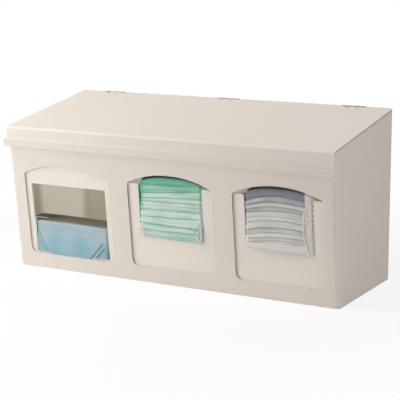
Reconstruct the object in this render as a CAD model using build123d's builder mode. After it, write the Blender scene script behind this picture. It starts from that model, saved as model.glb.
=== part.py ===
from build123d import *

import os
from math import asin, atan2, cos, degrees, hypot, sin, tan

os.makedirs("parts", exist_ok=True)

# A wall dispenser of bent plastic sheet: three bins side by side, an arched opening and a slide-in
# insert in front of each, and one hinged lid over them all. Millimetres, +Z up, +Y towards the wall.
# The origin is the centre of the base's underside.

# Cabinet
width = 727.0
base_depth = 254.0
front_height = 298.0  # lid's front corner above the base
rear_height = 344.0  # lid's rear corner above the base
front_overhang = 32.5  # how far the front leans out at front_height
sheet = 3.0
corner_radius = 8.0  # outside of the upright bends
bond_gap = 0.2  # seams that are bonded

# Front openings
left_margin = 32.5  # left edge of the cabinet to the first opening
right_margin = 23.0
cutout_web = 43.5
wide_cutout = 205.5
cutout_sill = 31.0
cutout_shoulder = 203.0  # height where the arch springs
arch_rise = 21.0
sill_corner = 15.0
shoulder_corner = 10.0
rim_drop = 5.0  # lid's crease to the front panel's upper edge

# Inserts and their channels
insert_overlap = 5.0
slide_gap = 0.4
seat_gap = 0.1
window_width = 180.0
window_sill = 35.0
window_top = 180.0
window_corner = 2.0
window_insert_top = 236.0
notch_width = 143.0
notch_sill = 98.0
notch_corner = 6.0
notch_insert_top = 202.0
channel_stem = 2.0
channel_depth = 28.0
channel_lip = 2.0
channel_reach = 6.0

# Lid
lip_gap = 0.4  # between the lip and the front panel
lip_upper = 25.0  # lid's front corner to the lip's crease
lip_lower = 17.0  # crease to the lip's end
lid_bend = 6.0
crease_bend = 4.0
lip_end_round = 0.8
rim_gap = 0.5  # between the lid's underside and the side walls
lid_setback = 1.0  # rear edge of the lid to the wall face
tab_reach = 10.0
tab_corner = 3.0
tab_drop = 1.0  # crease to the tab's upper edge
divider_drop = 6.0  # lid's underside to the dividers' tops

# Hinges
hinge_inset = 81.5  # end of the cabinet to the outer hinges' middles
hinge_length = 50.0
knuckle_count = 5
knuckle_gap = 0.3
barrel_radius = 2.5
leaf = 0.8
leaf_depth = 20.0
leaf_corner = 2.0
pin_radius = 1.0
pin_clearance = 0.05
pin_head_radius = 1.9
pin_head = 0.8
swing_gap = 0.4
notch_side_gap = 1.6

# Rivets
rivet_radius = 1.5
rivet_head_radius = 2.6
rivet_head = 1.1
rivet_tail = 0.8
rivet_tail_radius = 2.2
sunk_radius = 2.5
sunk_depth = 1.0
rivet_clearance = 0.05
rivet_spread = 20.0
rivet_row = 11.5  # hinge axis to the rivets

# Wall fixing holes
fixing_spacing_x = 406.4
fixing_spacing_z = 203.2
fixing_height = 170.0
fixing_radius = 3.25

# Stacks in the bins
stack_seat = 0.3
mask_margin = 7.25  # ends of the masks to the sides of the opening before them
mask_depth = 95.0
mask_layer = 8.0
layer_bulge = 2.2
mask_stack_height = 218.0
green_arch_radius = 900.0
white_arch_radius = 420.0
green_sag = (58.0, 48.0)  # rounding of the top layers' drooping ends, left and right
white_sag = (24.0, 50.0)
tongue_low = 0.0  # depth of the masks' front behind the panel's face, at the sill
tongue_high = 6.0  # and at the top
tongue_gap = 1.5  # beside the masks in the opening
droop = 4.0
droop_inset = 12.0
blue_length = 188.0
blue_depth = 62.0
blue_height = 100.0
blue_layer = 9.0

# Derived places
front_y = -base_depth / 2
wall_y = base_depth / 2
wall_inner_y = wall_y - sheet
lean = atan2(front_overhang, front_height)
front_face = Plane(origin=(0, front_y, 0), x_dir=(1, 0, 0), z_dir=(0, -cos(lean), -sin(lean)))
insert_front = sheet + slide_gap
insert_back = insert_front + sheet


def front_y_at(height, depth=0.0):
    """Y of the plane that lies this deep behind the front face, at this height."""
    return front_y - height * tan(lean) + depth / cos(lean)


def slant(height):
    """Length along the leaning front that reaches this height."""
    return height / cos(lean)


crease_height = front_height - lip_upper
lip_end_height = crease_height - lip_lower
panel_top = crease_height - rim_drop
lip_proud = lip_gap + sheet
lip_y = front_y_at(crease_height, -lip_proud)
lid_slope = atan2(rear_height - front_height, wall_y - lip_y)


def lid_top_at(y):
    """Height of the lid's upper face over this Y."""
    return rear_height - (wall_y - y) * tan(lid_slope)


# The hinge axis: the fixed leaves lie on the wall's inner face, the moving ones under the lid.
axis_y = wall_inner_y - leaf / 2
axis_above_leaf = barrel_radius - leaf
axis_z = lid_top_at(axis_y) - (sheet - axis_above_leaf) / cos(lid_slope)
lid_plane = Plane(
    origin=(0, axis_y, axis_z), x_dir=(1, 0, 0), z_dir=(0, -sin(lid_slope), cos(lid_slope))
)
wall_plane = Plane(origin=(0, axis_y, axis_z), x_dir=(1, 0, 0), z_dir=(0, -1, 0))
axis_to_rear_edge = (wall_y - lid_setback - axis_y) / cos(lid_slope)
lid_swing = hypot(axis_to_rear_edge, axis_above_leaf)
wall_top = axis_z - lid_swing - swing_gap
hinge_spacing = width / 2 - hinge_inset
hinge_centres = (-hinge_spacing, 0.0, hinge_spacing)
rivet_places = []
for hinge_centre in hinge_centres:
    rivet_places.append(hinge_centre - rivet_spread / 2)
    rivet_places.append(hinge_centre + rivet_spread / 2)

# The bins, from left to right
spare_width = width - left_margin - right_margin - 2 * cutout_web - wide_cutout
cutout_widths = (wide_cutout, spare_width / 2, spare_width / 2)
cutout_centres = []
cutout_start = -width / 2 + left_margin
for cutout_width in cutout_widths:
    cutout_centres.append(cutout_start + cutout_width / 2)
    cutout_start += cutout_width + cutout_web
mask_length = cutout_widths[-1] - 2 * mask_margin
divider_places = []
for index in range(len(cutout_widths) - 1):
    right_edge = cutout_centres[index] + cutout_widths[index] / 2
    divider_places.append(right_edge + cutout_web / 2)
bay_names = ("left", "middle", "right")
bay_tops = (window_insert_top, notch_insert_top, notch_insert_top)


def save(piece, name):
    """Label one finished piece and write its STEP file."""
    piece.part.label = name
    export_step(piece.part, f"parts/{name}.step")


# Shell: front, sides and back
side_edge_y = lip_y + sheet + lip_gap
rim_stop_y = axis_y - lid_swing - swing_gap


def rim_at(y):
    """Height of the side walls' upper edge over this Y."""
    return lid_top_at(y) - (sheet + rim_gap) / cos(lid_slope)


with BuildPart() as shell:
    with BuildSketch(Plane.YZ.offset(-width / 2)):
        with BuildLine():
            Polyline(
                (front_y, 0),
                (wall_y, 0),
                (wall_y, rear_height),
                (front_y_at(rear_height), rear_height),
                close=True,
            )
        make_face()
    extrude(amount=width)
    fillet(shell.edges().filter_by(lambda edge: abs((edge % 0.5).Z) > cos(2 * lean)), corner_radius)
    offset(amount=-sheet, openings=shell.faces().filter_by(Axis.Z))
    with BuildSketch(Plane.YZ.offset(-width / 2)) as above_rim:
        with BuildLine():
            Polyline(
                (side_edge_y - base_depth, panel_top),
                (side_edge_y, panel_top),
                (side_edge_y, rim_at(side_edge_y)),
                (rim_stop_y, rim_at(rim_stop_y)),
                (rim_stop_y, wall_top),
                (wall_y + sheet, wall_top),
                (wall_y + sheet, rear_height + sheet),
                (side_edge_y - base_depth, rear_height + sheet),
                close=True,
            )
        make_face()
        lip_corner = above_rim.vertices().filter_by_position(Axis.X, side_edge_y, side_edge_y)
        fillet(lip_corner.sort_by(Axis.Y)[-1], lid_bend)
    extrude(amount=width, mode=Mode.SUBTRACT)
    for centre, cutout_width in zip(cutout_centres, cutout_widths):
        with BuildSketch(front_face) as cutout:
            left = centre - cutout_width / 2
            right = centre + cutout_width / 2
            with BuildLine():
                Polyline(
                    (left, slant(cutout_shoulder)),
                    (left, slant(cutout_sill)),
                    (right, slant(cutout_sill)),
                    (right, slant(cutout_shoulder)),
                )
                ThreePointArc(
                    (left, slant(cutout_shoulder)),
                    (centre, slant(cutout_shoulder + arch_rise)),
                    (right, slant(cutout_shoulder)),
                )
            make_face()
            fillet(cutout.vertices().group_by(Axis.Y)[0], sill_corner)
            fillet(cutout.vertices().group_by(Axis.Y)[-1], shoulder_corner)
        extrude(amount=-2 * sheet, mode=Mode.SUBTRACT)
    with Locations(Plane(origin=(0, wall_y, fixing_height), x_dir=(-1, 0, 0), z_dir=(0, 1, 0))):
        with GridLocations(fixing_spacing_x, fixing_spacing_z, 2, 2):
            Hole(fixing_radius, depth=2 * sheet)
    for rivet_x in rivet_places:
        with Locations(wall_plane.location * Pos(rivet_x, -rivet_row, -leaf / 2 - sheet)):
            Cylinder(
                rivet_radius + rivet_clearance,
                sheet,
                align=(Align.CENTER, Align.CENTER, Align.MIN),
                mode=Mode.SUBTRACT,
            )
            Cone(
                sunk_radius + rivet_clearance,
                rivet_radius + rivet_clearance,
                sunk_depth,
                align=(Align.CENTER, Align.CENTER, Align.MIN),
                mode=Mode.SUBTRACT,
            )
save(shell, "shell")


# Bottom panel
panel_gap = sheet + bond_gap
with BuildPart() as bottom_panel:
    with BuildSketch() as floor_outline:
        with BuildLine():
            Polyline(
                (-width / 2 + panel_gap, front_y_at(0, panel_gap)),
                (width / 2 - panel_gap, front_y_at(0, panel_gap)),
                (width / 2 - panel_gap, wall_y - panel_gap),
                (-width / 2 + panel_gap, wall_y - panel_gap),
                close=True,
            )
        make_face()
        fillet(floor_outline.vertices(), corner_radius - sheet)
    extrude(amount=sheet)
save(bottom_panel, "bottom_panel")


# Dividers
def make_divider(centre, name):
    """One upright sheet between two bins, cut to the lean of the front and the slope of the lid."""
    foot = sheet + bond_gap
    rear = wall_inner_y - bond_gap
    with BuildPart() as divider:
        with BuildSketch(Plane.YZ.offset(centre - sheet / 2)):
            with BuildLine():
                front_bottom = (front_y_at(foot, panel_gap), foot)
                front_high = front_y_at(panel_top, panel_gap)
                Polyline(
                    front_bottom,
                    (rear, foot),
                    (rear, wall_top - divider_drop),
                    (rim_stop_y, rim_at(rim_stop_y) - divider_drop),
                    (front_high, rim_at(front_high) - divider_drop),
                    (front_high, panel_top),
                    close=True,
                )
            make_face()
        extrude(amount=sheet)
    save(divider, name)


for place, name in zip(divider_places, ("divider_left", "divider_right")):
    make_divider(place, name)


# Inserts: sheets that stand on the bottom panel behind the front's openings
insert_foot = slant(sheet + seat_gap) - insert_front * tan(lean)


def make_window_insert(centre, cutout_width, top, name):
    """The closed insert with a rectangular window."""
    with BuildPart() as insert:
        with BuildSketch(front_face.offset(-insert_back)):
            with Locations((centre, insert_foot)):
                Rectangle(
                    cutout_width + 2 * insert_overlap,
                    slant(top) - insert_foot,
                    align=(Align.CENTER, Align.MIN),
                )
        extrude(amount=sheet)
        with BuildSketch(front_face.offset(-insert_back)):
            with Locations((centre, slant((window_sill + window_top) / 2))):
                RectangleRounded(window_width, slant(window_top - window_sill), window_corner)
        extrude(amount=sheet, mode=Mode.SUBTRACT)
    save(insert, name)


def make_notch_insert(centre, cutout_width, top, name):
    """The insert with a U notch that the masks are pulled over."""
    half = cutout_width / 2 + insert_overlap
    with BuildPart() as insert:
        with BuildSketch(front_face.offset(-insert_back)) as outline:
            with BuildLine():
                Polyline(
                    (centre - half, insert_foot),
                    (centre + half, insert_foot),
                    (centre + half, slant(top)),
                    (centre + notch_width / 2, slant(top)),
                    (centre + notch_width / 2, slant(notch_sill)),
                    (centre - notch_width / 2, slant(notch_sill)),
                    (centre - notch_width / 2, slant(top)),
                    (centre - half, slant(top)),
                    close=True,
                )
            make_face()
            fillet(outline.vertices().group_by(Axis.Y)[1], notch_corner)
            fillet(outline.vertices().group_by(Axis.Y)[-1], window_corner)
        extrude(amount=sheet)
    save(insert, name)


make_window_insert(cutout_centres[0], cutout_widths[0], bay_tops[0], "insert_left")
make_notch_insert(cutout_centres[1], cutout_widths[1], bay_tops[1], "insert_middle")
make_notch_insert(cutout_centres[2], cutout_widths[2], bay_tops[2], "insert_right")


# Channels: F sections bonded behind the front, one at each side of every insert
channel_foot = front_face.from_local_coords((0, slant(sheet + bond_gap), 0))
channel_plane = Plane(origin=channel_foot, x_dir=(1, 0, 0), z_dir=(0, -sin(lean), cos(lean)))
channel_length = slant(window_insert_top) - slant(sheet + bond_gap)
lip_near = insert_back + slide_gap
lip_far = lip_near + channel_lip


def make_channel(insert_edge, outward, name):
    """One channel: its stem stands beside the insert's edge and its lip lies behind it."""
    near = insert_edge + outward * slide_gap
    far = near + outward * channel_stem
    lip_end = near - outward * channel_reach
    with BuildPart() as channel:
        with BuildSketch(channel_plane):
            with BuildLine():
                Polyline(
                    (near, sheet),
                    (near, lip_near),
                    (lip_end, lip_near),
                    (lip_end, lip_far),
                    (near, lip_far),
                    (near, sheet + channel_depth),
                    (far, sheet + channel_depth),
                    (far, sheet),
                    close=True,
                )
            make_face()
        extrude(amount=channel_length)
    save(channel, name)


for bay, centre, cutout_width in zip(bay_names, cutout_centres, cutout_widths):
    half = cutout_width / 2 + insert_overlap
    make_channel(centre - half, -1, f"channel_{bay}_a")
    make_channel(centre + half, 1, f"channel_{bay}_b")


# Lid: one bent sheet, with a lip that laps the front panel and a finger tab at the lip's left end
with BuildPart() as lid:
    with BuildSketch(Plane.YZ.offset(-width / 2)) as lid_profile:
        with BuildLine():
            FilletPolyline(
                (wall_y - lid_setback, lid_top_at(wall_y - lid_setback)),
                (lip_y, front_height),
                (lip_y, crease_height),
                (front_y_at(lip_end_height, -lip_proud), lip_end_height),
                radius=(lid_bend, crease_bend),
            )
            offset(amount=sheet, side=Side.LEFT)
        make_face()
        fillet(lid_profile.vertices().sort_by(Axis.Y)[:2], lip_end_round)
    extrude(amount=width)
    with BuildSketch(front_face.offset(lip_gap)) as tab_outline:
        with Locations((-width / 2, slant(lip_end_height))):
            Rectangle(
                tab_reach,
                slant(crease_height) - slant(lip_end_height) - tab_drop,
                align=(Align.MAX, Align.MIN),
            )
        fillet(tab_outline.vertices().group_by(Axis.X)[0], tab_corner)
    extrude(amount=sheet)
    fillet(lid.edges().filter_by(Axis(lid_plane.origin, lid_plane.z_dir)), corner_radius)
    for hinge_centre in hinge_centres:
        with BuildSketch(lid_plane.offset(axis_above_leaf + sheet)):
            with Locations((hinge_centre, -barrel_radius - swing_gap)):
                Rectangle(
                    hinge_length + 2 * notch_side_gap,
                    2 * corner_radius,
                    align=(Align.CENTER, Align.MIN),
                )
        extrude(amount=-3 * sheet, mode=Mode.SUBTRACT)
    with BuildSketch(lid_plane.offset(axis_above_leaf + sheet)):
        for rivet_x in rivet_places:
            with Locations((rivet_x, -rivet_row)):
                Circle(rivet_radius + rivet_clearance)
    extrude(amount=-3 * sheet, mode=Mode.SUBTRACT)
save(lid, "lid")


# Hinges
knuckle_pitch = (hinge_length + knuckle_gap) / knuckle_count
knuckle_length = knuckle_pitch - knuckle_gap
wall_knuckles = range(0, knuckle_count, 2)
lid_knuckles = range(1, knuckle_count, 2)


def knuckle_start(hinge_centre, number):
    """X of one knuckle's left end."""
    return hinge_centre - hinge_length / 2 + number * knuckle_pitch


def make_leaf(hinge_centre, plate_plane, own_knuckles, other_knuckles, name):
    """One hinge leaf: a plate with rolled knuckles at its edge, bored for the pin."""
    with BuildPart() as hinge_leaf:
        with BuildSketch(plate_plane) as plate:
            with Locations((hinge_centre, 0)):
                Rectangle(hinge_length, leaf_depth, align=(Align.CENTER, Align.MAX))
            fillet(plate.vertices().group_by(Axis.Y)[0], leaf_corner)
            for side in (-1, 1):
                with Locations((hinge_centre + side * rivet_spread / 2, -rivet_row)):
                    Circle(rivet_radius + rivet_clearance, mode=Mode.SUBTRACT)
        extrude(amount=leaf)
        for number in other_knuckles:
            with BuildSketch(Plane.YZ.offset(knuckle_start(hinge_centre, number) - knuckle_gap)):
                with Locations((axis_y, axis_z)):
                    Circle(barrel_radius + swing_gap)
            extrude(amount=knuckle_length + 2 * knuckle_gap, mode=Mode.SUBTRACT)
        for number in own_knuckles:
            with BuildSketch(Plane.YZ.offset(knuckle_start(hinge_centre, number))):
                with Locations((axis_y, axis_z)):
                    Circle(barrel_radius)
            extrude(amount=knuckle_length)
        with BuildSketch(Plane.YZ.offset(hinge_centre - hinge_length)):
            with Locations((axis_y, axis_z)):
                Circle(pin_radius + pin_clearance)
        extrude(amount=2 * hinge_length, mode=Mode.SUBTRACT)
    save(hinge_leaf, name)


def make_pin(hinge_centre, name):
    """One hinge pin with a peened head at each end."""
    with BuildPart() as pin:
        with BuildSketch(Plane.YZ.offset(hinge_centre - hinge_length / 2)):
            with Locations((axis_y, axis_z)):
                Circle(pin_radius)
        extrude(amount=hinge_length)
        for head_x, head_length in (
            (hinge_centre - hinge_length / 2, -pin_head),
            (hinge_centre + hinge_length / 2, pin_head),
        ):
            with BuildSketch(Plane.YZ.offset(head_x)):
                with Locations((axis_y, axis_z)):
                    Circle(pin_head_radius)
            extrude(amount=head_length)
    save(pin, name)


for number, hinge_centre in enumerate(hinge_centres, start=1):
    make_leaf(
        hinge_centre,
        wall_plane.offset(-leaf / 2),
        wall_knuckles,
        lid_knuckles,
        f"hinge_leaf_wall_{number}",
    )
    make_leaf(
        hinge_centre,
        lid_plane.offset(-barrel_radius),
        lid_knuckles,
        wall_knuckles,
        f"hinge_leaf_lid_{number}",
    )
    make_pin(hinge_centre, f"hinge_pin_{number}")


# Rivets: domed heads, with a formed tail under the lid and a sunk tail in the wall
with BuildPart() as lid_rivets:
    for rivet_x in rivet_places:
        with Locations(lid_plane.location * Pos(rivet_x, -rivet_row, sheet - axis_above_leaf)):
            Cylinder(rivet_head_radius, rivet_head, align=(Align.CENTER, Align.CENTER, Align.MIN))
            Cylinder(rivet_radius, sheet + leaf, align=(Align.CENTER, Align.CENTER, Align.MAX))
        with Locations(lid_plane.location * Pos(rivet_x, -rivet_row, -barrel_radius)):
            Cylinder(rivet_tail_radius, rivet_tail, align=(Align.CENTER, Align.CENTER, Align.MAX))
    head_tops = lid_rivets.edges().group_by(Axis(lid_plane.origin, lid_plane.z_dir))[-1]
    fillet(head_tops, rivet_head * 0.7)
save(lid_rivets, "lid_rivets")

with BuildPart() as wall_rivets:
    for rivet_x in rivet_places:
        with Locations(wall_plane.location * Pos(rivet_x, -rivet_row, leaf / 2)):
            Cylinder(rivet_head_radius, rivet_head, align=(Align.CENTER, Align.CENTER, Align.MIN))
            Cylinder(rivet_radius, sheet + leaf, align=(Align.CENTER, Align.CENTER, Align.MAX))
        with Locations(wall_plane.location * Pos(rivet_x, -rivet_row, -leaf / 2 - sheet)):
            Cone(
                sunk_radius,
                rivet_radius,
                sunk_depth,
                align=(Align.CENTER, Align.CENTER, Align.MIN),
            )
    fillet(wall_rivets.edges().group_by(Axis.Y)[0], rivet_head * 0.7)
save(wall_rivets, "wall_rivets")


# Stacks in the bins: layers that bulge at the front and the rear, lean with the front and push out
# through the opening of their insert
floor_height = sheet + stack_seat
stack_front = insert_back + slide_gap + layer_bulge


def add_layers(front_depth_at, offset_back, bulge, foot, top, layer):
    """Draw one scalloped side of a stack, an arc for each layer, in the active line."""
    count = round((top - foot) / layer)
    pitch = (top - foot) / count
    for number in range(count):
        heights = [foot + step * pitch for step in (number, number + 0.5, number + 1)]
        low, middle, high = [front_y_at(h, front_depth_at(h)) + offset_back for h in heights]
        ThreePointArc((low, heights[0]), (middle + bulge, heights[1]), (high, heights[2]))


def draw_stack(sill, depth, top, layer):
    """Draw the closed side view of a stack that pushes forward above its sill."""

    def tongue_depth(height):
        return tongue_low + (tongue_high - tongue_low) * (height - sill) / (top - sill)

    def body_depth(height):
        return stack_front

    add_layers(body_depth, 0, -layer_bulge, floor_height, sill, layer)
    Line((front_y_at(sill, stack_front), sill), (front_y_at(sill, tongue_low), sill))
    add_layers(tongue_depth, 0, -layer_bulge, sill, top, layer)
    Line(
        (front_y_at(top, tongue_high), top),
        (front_y_at(top, stack_front) + depth, top),
    )
    add_layers(body_depth, depth, layer_bulge, floor_height, top, layer)
    Line(
        (front_y_at(floor_height, stack_front), floor_height),
        (front_y_at(floor_height, stack_front) + depth, floor_height),
    )


def around_opening(centre, opening_width, sill):
    """All that a stack keeps clear of in front of its body: the insert around the opening."""
    with BuildSketch(front_face.offset(-insert_back - slide_gap)) as surround:
        with Locations((centre, 0)):
            Rectangle(2 * opening_width, 2 * rear_height)
        with Locations((centre, slant(sill))):
            RectangleRounded(
                opening_width - 2 * tongue_gap,
                2 * rear_height,
                notch_corner,
                align=(Align.CENTER, Align.MIN),
                mode=Mode.SUBTRACT,
            )
    return surround.sketch


def droop_outline(centre, opening_width, sill):
    """Front view of the fold that hangs over a sill, on the plane just in front of the insert."""
    with BuildSketch(front_face.offset(-insert_front + slide_gap)) as fold:
        with Locations((centre, slant(sill - droop))):
            Rectangle(
                opening_width - 2 * droop_inset,
                2 * droop,
                align=(Align.CENTER, Align.MIN),
            )
        fillet(fold.vertices().group_by(Axis.Y)[0], droop / 2)
    return fold.sketch


def draw_drooping_ends(centre, sag):
    """Front view of a stack whose top layers droop at both ends, in the active sketch."""
    with Locations((centre, floor_height)):
        outline = Rectangle(
            mask_length,
            mask_stack_height - floor_height,
            align=(Align.CENTER, Align.MIN),
        )
    top_left, top_right = outline.vertices().group_by(Axis.Y)[-1].sort_by(Axis.X)
    fillet(top_left, sag[0])
    fillet(top_right, sag[1])


def make_mask_stack(centre, arch_radius, sag, name):
    """One tall stack of masks, arched over its middle, with its front hanging over the notch's sill."""
    arch_base = mask_stack_height / 2 - arch_radius
    half_sweep = asin(mask_length / 2 / (floor_height - arch_base))
    arch_start = Plane(
        origin=(centre + arch_base * sin(half_sweep), 0, arch_base - arch_base * cos(half_sweep)),
        x_dir=(0, 1, 0),
        z_dir=(cos(half_sweep), 0, sin(half_sweep)),
    )
    sill = notch_sill + slide_gap
    with BuildPart() as stack:
        with BuildSketch(arch_start):
            with BuildLine():
                draw_stack(sill, mask_depth, mask_stack_height, mask_layer)
            make_face()
        revolve(
            axis=Axis((centre, 0, arch_base), (0, 1, 0)),
            revolution_arc=2 * degrees(half_sweep),
        )
        with BuildSketch(Plane.XZ):
            draw_drooping_ends(centre, sag)
        extrude(amount=base_depth, both=True, mode=Mode.INTERSECT)
        extrude(around_opening(centre, notch_width, sill), amount=4 * sheet, mode=Mode.SUBTRACT)
        extrude(droop_outline(centre, notch_width, sill), amount=insert_front - slide_gap)
    save(stack, name)


make_mask_stack(cutout_centres[1], green_arch_radius, green_sag, "green_stack")
make_mask_stack(cutout_centres[2], white_arch_radius, white_sag, "white_stack")

with BuildPart() as blue_stack:
    blue_sill = window_sill + slide_gap
    with BuildSketch(Plane.YZ.offset(cutout_centres[0] - blue_length / 2)):
        with BuildLine():
            draw_stack(blue_sill, blue_depth, blue_height, blue_layer)
        make_face()
    extrude(amount=blue_length)
    extrude(
        around_opening(cutout_centres[0], window_width, blue_sill),
        amount=4 * sheet,
        mode=Mode.SUBTRACT,
    )
    extrude(
        droop_outline(cutout_centres[0], window_width, blue_sill),
        amount=insert_front - slide_gap,
    )
save(blue_stack, "blue_stack")
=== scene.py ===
"""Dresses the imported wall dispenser: bent plastic sheet, steel hinges and the cloth in its bins.

Everything is in metres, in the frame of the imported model: +Z up, +Y towards the wall, and the origin
at the centre of the base's underside.
"""

import logging
import math
from dataclasses import dataclass, field
from enum import Enum

import bpy
import numpy as np
from mathutils import Matrix, Vector


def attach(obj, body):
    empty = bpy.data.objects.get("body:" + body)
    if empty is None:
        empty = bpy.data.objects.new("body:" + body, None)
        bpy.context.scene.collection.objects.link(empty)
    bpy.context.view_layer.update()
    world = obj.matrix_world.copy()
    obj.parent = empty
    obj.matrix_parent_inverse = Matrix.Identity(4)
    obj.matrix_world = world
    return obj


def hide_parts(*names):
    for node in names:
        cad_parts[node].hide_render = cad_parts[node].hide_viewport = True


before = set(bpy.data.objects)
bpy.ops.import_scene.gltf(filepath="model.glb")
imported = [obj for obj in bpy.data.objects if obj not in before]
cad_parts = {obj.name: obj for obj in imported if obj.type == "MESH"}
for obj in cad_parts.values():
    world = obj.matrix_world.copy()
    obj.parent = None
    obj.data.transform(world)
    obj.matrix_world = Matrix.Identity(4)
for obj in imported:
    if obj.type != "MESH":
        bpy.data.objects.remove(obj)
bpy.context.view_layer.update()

Colour = tuple[float, float, float, float]
Pair = tuple[float, float]
Triple = tuple[float, float, float]
Values = np.ndarray | float

LOG = logging.getLogger("dispenser")
MM = 0.001

# Sizes that the cloth shares with the cabinet
FRONT_Y = -0.127
FRONT_HEIGHT = 0.298
FRONT_OVERHANG = 0.0325
LEAN = math.atan2(FRONT_OVERHANG, FRONT_HEIGHT)
FLOOR_TOP = 3.4 * MM
SHEET = 3.0 * MM
REAR_HEIGHT = 0.344
WALL_Y = 0.127
LID_SLOPE = math.radians(9.1)

# The arch over each front opening
ARCH_HALF = 94.75 * MM
ARCH_TOP = 0.224
ARCH_RISE = 0.021
ARCH_RADIUS = (ARCH_HALF**2 + ARCH_RISE**2) / (2 * ARCH_RISE)

# Flat sizes of one opened mask and of the left bin's folded item
MASK_FLAT = (0.175, 0.160)
ITEM_FLAT = (0.188, 0.140)

# The body that everything in the bins rides on
CABINET_BODY = "cabinet"

WHITE = (1.0, 1.0, 1.0, 1.0)


class Slot(Enum):
    """The record's material slots for cloth."""

    BLUE = "blue_fabric"
    GREEN = "green_fabric"
    WHITE = "white_fabric"


def display(red: float, green: float, blue: float) -> Colour:
    """Turn an 8-bit display colour into a linear one.

    Args:
        red: Red, 0 to 255.
        green: Green, 0 to 255.
        blue: Blue, 0 to 255.

    Returns:
        The linear colour with full alpha.
    """
    share = np.array([red, green, blue]) / 255.0
    linear = np.where(share <= 0.04045, share / 12.92, ((share + 0.055) / 1.055) ** 2.4)
    return (float(linear[0]), float(linear[1]), float(linear[2]), 1.0)


# Shader expressions


class Signal:
    """A shader socket that can be written into Python expressions."""

    def __init__(self, net: "Net", socket: bpy.types.NodeSocket) -> None:
        """Wrap one output socket of a net."""
        self.net = net
        self.socket = socket

    def _maths(self, operation: str, *values: "Signal | float") -> "Signal":
        """Add one Math node over these values."""
        return self.net.add("ShaderNodeMath", {"operation": operation}, dict(enumerate(values)))

    def __add__(self, other: "Signal | float") -> "Signal":
        """Sum."""
        return self._maths("ADD", self, other)

    __radd__ = __add__

    def __sub__(self, other: "Signal | float") -> "Signal":
        """Difference."""
        return self._maths("SUBTRACT", self, other)

    def __rsub__(self, other: float) -> "Signal":
        """Difference, the other way round."""
        return self._maths("SUBTRACT", other, self)

    def __mul__(self, other: "Signal | float") -> "Signal":
        """Product."""
        return self._maths("MULTIPLY", self, other)

    __rmul__ = __mul__

    def __gt__(self, other: "Signal | float") -> "Signal":
        """1 where this is the greater."""
        return self._maths("GREATER_THAN", self, other)

    def __lt__(self, other: "Signal | float") -> "Signal":
        """1 where this is the smaller."""
        return self._maths("LESS_THAN", self, other)

    def __abs__(self) -> "Signal":
        """Size without sign."""
        return self._maths("ABSOLUTE", self)

    def ramp(self, low: float, high: float) -> "Signal":
        """Rise smoothly from 0 at low to 1 at high.

        Args:
            low: The value that gives 0.
            high: The value that gives 1.

        Returns:
            The smoothed step.
        """
        return self.net.add(
            "ShaderNodeMapRange",
            {"interpolation_type": "SMOOTHSTEP", "clamp": True},
            {"Value": self, "From Min": low, "From Max": high, "To Min": 0.0, "To Max": 1.0},
        )


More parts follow.
